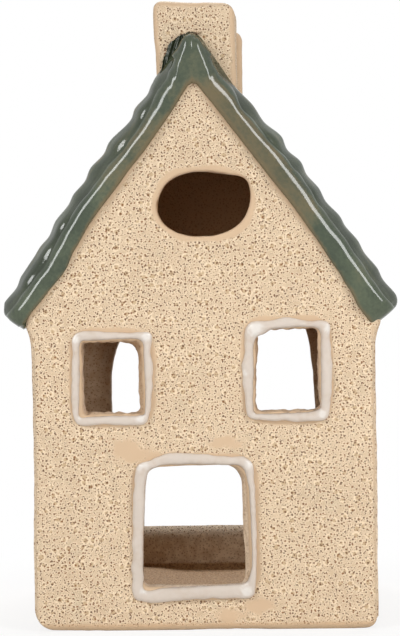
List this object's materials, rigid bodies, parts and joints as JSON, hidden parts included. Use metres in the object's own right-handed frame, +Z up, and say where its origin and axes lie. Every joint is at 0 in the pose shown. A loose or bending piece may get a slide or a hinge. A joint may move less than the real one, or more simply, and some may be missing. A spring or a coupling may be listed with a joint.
{
  "type": "tealight house",
  "caption": "Small stoneware house with a steep tiled roof, a chimney and cut-out windows and doorway, open at the back by an arch so that a tealight can stand and glow inside.",
  "frame": {"origin": "on the ground under the middle of the roof", "axes": "+Z up, -Y out of the front with the doorway, +X to the right of someone who faces the front"},
  "size_m": [0.1004, 0.087, 0.16],
  "materials": {
    "cream_stoneware": "matt cream glaze with open pits, bare brown clay inside",
    "white_glaze": "thick glossy white glaze",
    "green_glaze": "glossy moss green glaze, brown where it is thin"
  },
  "bodies": {
    "root": {"base_slab": "cream_stoneware", "front_wall": "cream_stoneware", "back_wall": "cream_stoneware", "left_wall": "cream_stoneware", "right_wall": "cream_stoneware", "chimney_stack": "cream_stoneware", "chimney_shoulder": "cream_stoneware", "doorway_rim": "white_glaze", "left_window_rim": "white_glaze", "right_window_rim": "white_glaze", "left_roof_slab": "green_glaze", "right_roof_slab": "green_glaze", "ridge_cap": "green_glaze", "chimney_flashing": "green_glaze", "left_tile_1": "green_glaze", "left_tile_2": "green_glaze", "left_tile_3": "green_glaze", "left_tile_4": "green_glaze", "left_tile_5": "green_glaze", "left_tile_6": "green_glaze", "left_tile_7": "green_glaze", "left_tile_8": "green_glaze", "left_tile_9": "green_glaze", "right_tile_1": "green_glaze", "right_tile_2": "green_glaze", "right_tile_3": "green_glaze", "right_tile_4": "green_glaze", "right_tile_5": "green_glaze", "right_tile_6": "green_glaze", "right_tile_7": "green_glaze", "right_tile_8": "green_glaze", "right_tile_9": "green_glaze"}
  },
  "joints": []
}
